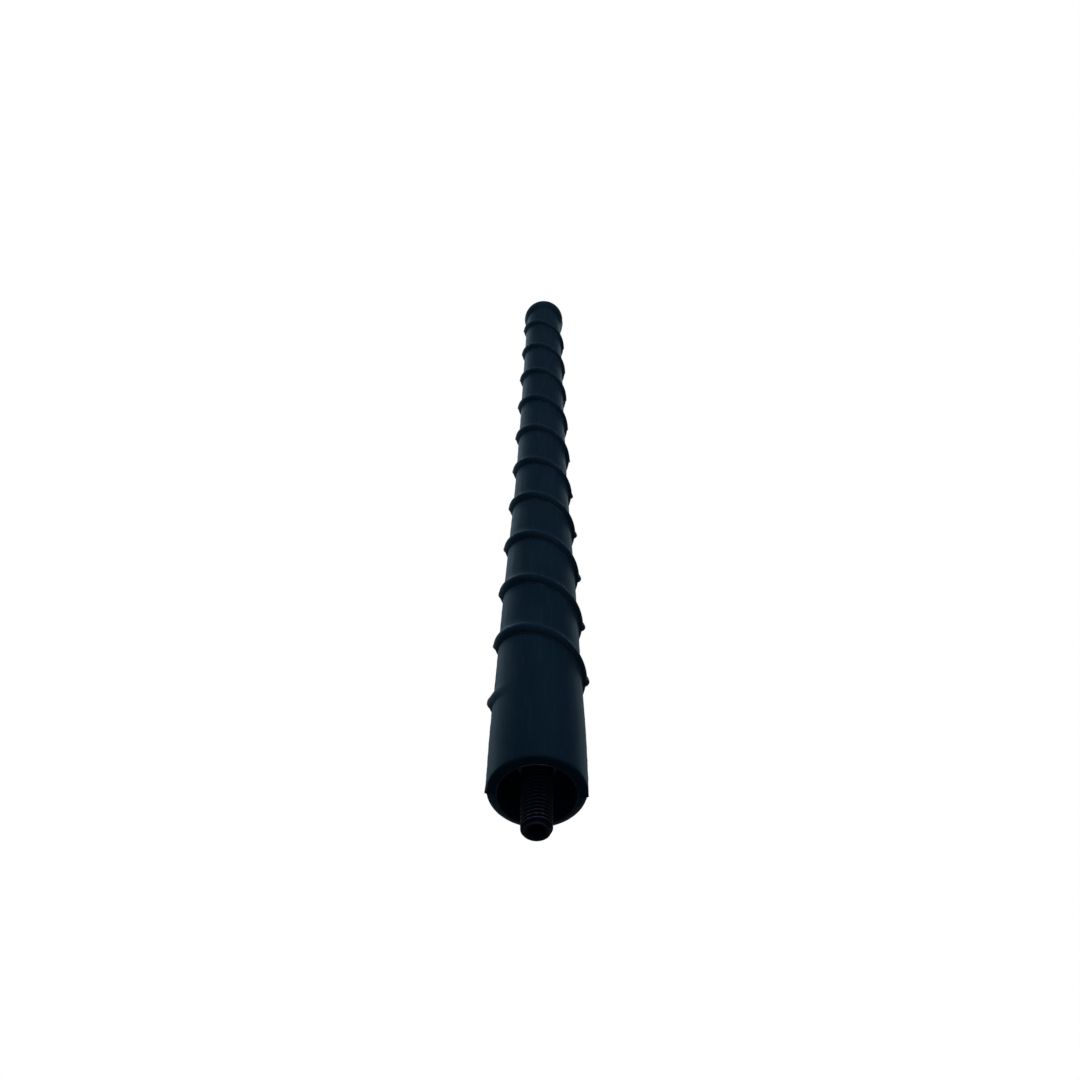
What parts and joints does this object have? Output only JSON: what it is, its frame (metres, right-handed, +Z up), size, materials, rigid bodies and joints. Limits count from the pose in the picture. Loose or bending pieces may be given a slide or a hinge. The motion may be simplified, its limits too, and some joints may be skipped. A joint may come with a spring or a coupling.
{
  "type": "car mast aerial",
  "caption": "Short tapering rubber mast aerial with a helical rib, a ball tip and a hollow skirt, screwed on by a hexagon-socket stud.",
  "frame": {"origin": "centre of the skirt's rim, on the stud's axis", "axes": "+Z up the mast from the rim to the tip, so the stud points along -Z; -Y is the front, the side that the picture shows, and the mould line lies at +X and -X"},
  "size_m": [0.017, 0.0168, 0.2077],
  "materials": {
    "rubber": "moulded black rubber, satin, faintly blue",
    "black_steel": "black oxide, satin",
    "plated_brass": "turned brass with nickel plating, dull",
    "glass_fibre": "pultruded glass fibre, matt",
    "copper": "enamelled copper wire, glossy",
    "shrink_tube": "heat-shrink tube, matt",
    "solder": "solder, dull bright"
  },
  "bodies": {
    "root": {"mast_jacket": "rubber", "stud": "black_steel", "base_ferrule": "plated_brass", "core_rod": "glass_fibre", "wire_winding": "copper", "winding_sleeve": "shrink_tube", "solder_joint": "solder"}
  },
  "joints": []
}
